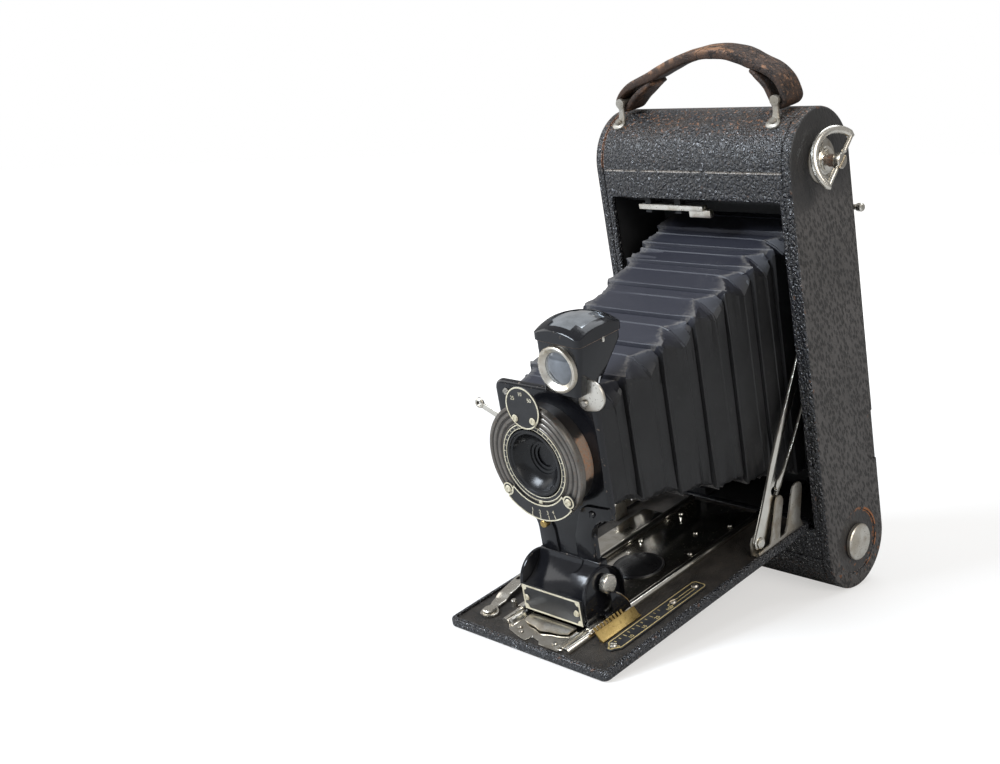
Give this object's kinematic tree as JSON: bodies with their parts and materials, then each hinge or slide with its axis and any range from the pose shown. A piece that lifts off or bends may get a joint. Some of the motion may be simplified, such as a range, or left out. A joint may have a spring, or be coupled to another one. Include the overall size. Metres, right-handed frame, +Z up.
{
  "type": "folding roll-film camera",
  "caption": "Vintage folding bellows camera with leather case, drop bed on rails, sliding lens standard, leaf shutter, reflecting finder, winding key and carrying strap.",
  "frame": {"origin": "on the table, under the foot of the case where it touches down, at mid width", "axes": "+Z up, -Y towards the subject the lens points at, +X to the right as seen from the front"},
  "size_m": [0.11, 0.1773, 0.2316],
  "materials": {
    "case_leather": "pebble-grained black leather over the case",
    "strap_leather": "cracked brown-black leather",
    "bellows_leather": "thin black bellows leather",
    "inner_black": "matt black inside",
    "black_enamel": "gloss black enamel, worn at edges",
    "label_black": "black plates with pale borders",
    "gunmetal": "satin grey-brown shutter metal",
    "nickel": "worn warm nickel plate",
    "brass": "aged brass",
    "spool_wood": "turned wood with dark flanges",
    "clear_glass": "polished glass",
    "mirror_glass": "silvered mirror",
    "red_glass": "deep red window"
  },
  "bodies": {
    "body": {"side_panel_left": "case_leather", "side_panel_right": "case_leather", "front_frame": "case_leather", "bay_box": "inner_black", "film_gate": "inner_black", "top_end_cap": "case_leather", "bottom_end_cap": "case_leather", "spool_studs": "nickel", "key_escutcheon": "nickel", "side_tripod_bush": "nickel", "handle_tabs": "nickel", "handle_strap": "strap_leather", "bed_board": "case_leather", "bed_hinge": "nickel", "bed_track": "nickel", "tripod_bush": "black_enamel", "scale_plate": "label_black", "focus_comb": "brass", "bed_screws": "nickel", "strut_left": "nickel", "strut_right": "nickel", "strut_brackets": "nickel", "bellows": "bellows_leather"},
    "standard": {"standard_base": "black_enamel", "name_plate": "label_black", "focus_pointer": "nickel", "lens_board": "black_enamel", "shutter_case": "gunmetal", "bezel_ring": "black_enamel", "lens_funnel": "black_enamel", "shutter_plates": "label_black", "lens_glass": "clear_glass", "standard_screws": "nickel"},
    "finder": {"finder_bracket": "nickel", "finder_body": "black_enamel", "finder_cap": "black_enamel", "finder_glass": "clear_glass", "finder_lens_ring": "nickel", "finder_lens": "clear_glass", "finder_mirror": "mirror_glass"},
    "release_lever": {"release_lever": "nickel"},
    "shutter_blade": {"shutter_blade": "gunmetal"},
    "speed_wheel": {"speed_wheel": "nickel"},
    "aperture_pointer": {"aperture_pointer": "nickel"},
    "grip_right": {"grip_right": "nickel"},
    "grip_left": {"grip_left": "nickel"},
    "winding_key": {"winding_key": "nickel", "take_up_spool": "spool_wood"},
    "key_bow": {"key_bow": "nickel"},
    "spool_pin": {"spool_pin": "nickel"},
    "supply_spool": {"supply_spool": "spool_wood"},
    "film_roller_top": {"film_roller_top": "nickel"},
    "film_roller_bottom": {"film_roller_bottom": "nickel"},
    "back_cover": {"back_cover": "case_leather", "red_window": "red_glass"},
    "autographic_door": {"autographic_door": "case_leather"},
    "stylus": {"stylus": "nickel"},
    "focus_lever": {"focus_lever": "nickel"},
    "bed_latch": {"bed_latch": "nickel"},
    "track_catch": {"track_catch": "nickel"}
  },
  "joints": [
    {"name": "standard_slide", "type": "slide", "parent": "body", "child": "standard", "axis": [0, 0.9752, 0.2213], "range_m": [-0.003, 0.115], "deforming": ["bellows"]},
    {"name": "finder_swivel", "type": "hinge", "parent": "standard", "child": "finder", "pos_m": [0.0232, -0.14575, 0.09979], "axis": [0, -0.9752, -0.2213], "range_deg": [-90, 0]},
    {"name": "release_lever_turn", "type": "hinge", "parent": "standard", "child": "release_lever", "pos_m": [-0.01625, -0.14919, 0.08513], "axis": [0, -0.9752, -0.2213], "range_deg": [0, 14], "stiffness_Nm_per_rad": 0.02},
    {"name": "shutter_blade_turn", "type": "hinge", "parent": "standard", "child": "shutter_blade", "pos_m": [0, -0.14421, 0.09184], "axis": [0, 0.9752, 0.2213], "range_deg": [0, 50]},
    {"name": "speed_wheel_turn", "type": "hinge", "parent": "standard", "child": "speed_wheel", "pos_m": [0, -0.15213, 0.09671], "axis": [0, 0.9752, 0.2213], "range_deg": [-60, 60]},
    {"name": "aperture_turn", "type": "hinge", "parent": "standard", "child": "aperture_pointer", "pos_m": [0, -0.14657, 0.07448], "axis": [0, 0.9752, 0.2213], "range_deg": [-20, 20]},
    {"name": "grip_right_squeeze", "type": "slide", "parent": "standard", "child": "grip_right", "axis": [-1, 0, 0], "range_m": [0, 0.0009], "stiffness_N_per_m": 400},
    {"name": "grip_left_squeeze", "type": "slide", "parent": "standard", "child": "grip_left", "axis": [1, 0, 0], "range_m": [0, 0.0009], "stiffness_N_per_m": 400},
    {"name": "winding_key_turn", "type": "hinge", "parent": "body", "child": "winding_key", "pos_m": [0, -0.03718, 0.18483], "axis": [1, 0, 0], "continuous": true},
    {"name": "key_bow_fold", "type": "hinge", "parent": "winding_key", "child": "key_bow", "pos_m": [0.0586, -0.03718, 0.18483], "axis": [0, 0.6048, 0.7964], "range_deg": [0, 112]},
    {"name": "spool_pin_pull", "type": "slide", "parent": "body", "child": "spool_pin", "axis": [1, 0, 0], "range_m": [0, 0.007]},
    {"name": "supply_spool_turn", "type": "hinge", "parent": "body", "child": "supply_spool", "pos_m": [0, 0, 0.021], "axis": [1, 0, 0], "continuous": true},
    {"name": "film_roller_top_turn", "type": "hinge", "parent": "body", "child": "film_roller_top", "pos_m": [0, -0.02212, 0.17718], "axis": [1, 0, 0], "continuous": true},
    {"name": "film_roller_bottom_turn", "type": "hinge", "parent": "body", "child": "film_roller_bottom", "pos_m": [0, 0.01029, 0.03441], "axis": [1, 0, 0], "continuous": true},
    {"name": "back_cover_lift", "type": "slide", "parent": "body", "child": "back_cover", "axis": [0, 0.9752, 0.2213], "range_m": [0, 0.06]},
    {"name": "autographic_door_turn", "type": "hinge", "parent": "back_cover", "child": "autographic_door", "pos_m": [0.014, -0.0073, 0.1548], "axis": [-1, 0, 0], "range_deg": [0, 110]},
    {"name": "stylus_pull", "type": "slide", "parent": "autographic_door", "child": "stylus", "axis": [1, 0, 0], "range_m": [0, 0.022]},
    {"name": "focus_lever_turn", "type": "hinge", "parent": "body", "child": "focus_lever", "pos_m": [-0.03, -0.14333, 0.00641], "axis": [0, 0.2213, -0.9752], "range_deg": [0, 15]},
    {"name": "bed_latch_slide", "type": "slide", "parent": "body", "child": "bed_latch", "axis": [1, 0, 0], "range_m": [0, 0.004], "stiffness_N_per_m": 200},
    {"name": "track_catch_press", "type": "slide", "parent": "body", "child": "track_catch", "axis": [0, 0.2213, -0.9752], "range_m": [0, 0.0005], "stiffness_N_per_m": 600}
  ],
  "couplings": [
    {"joint": "shutter_blade_turn", "follows": "release_lever_turn", "ratio": 3.5},
    {"joint": "grip_left_squeeze", "follows": "grip_right_squeeze", "ratio": 1}
  ]
}
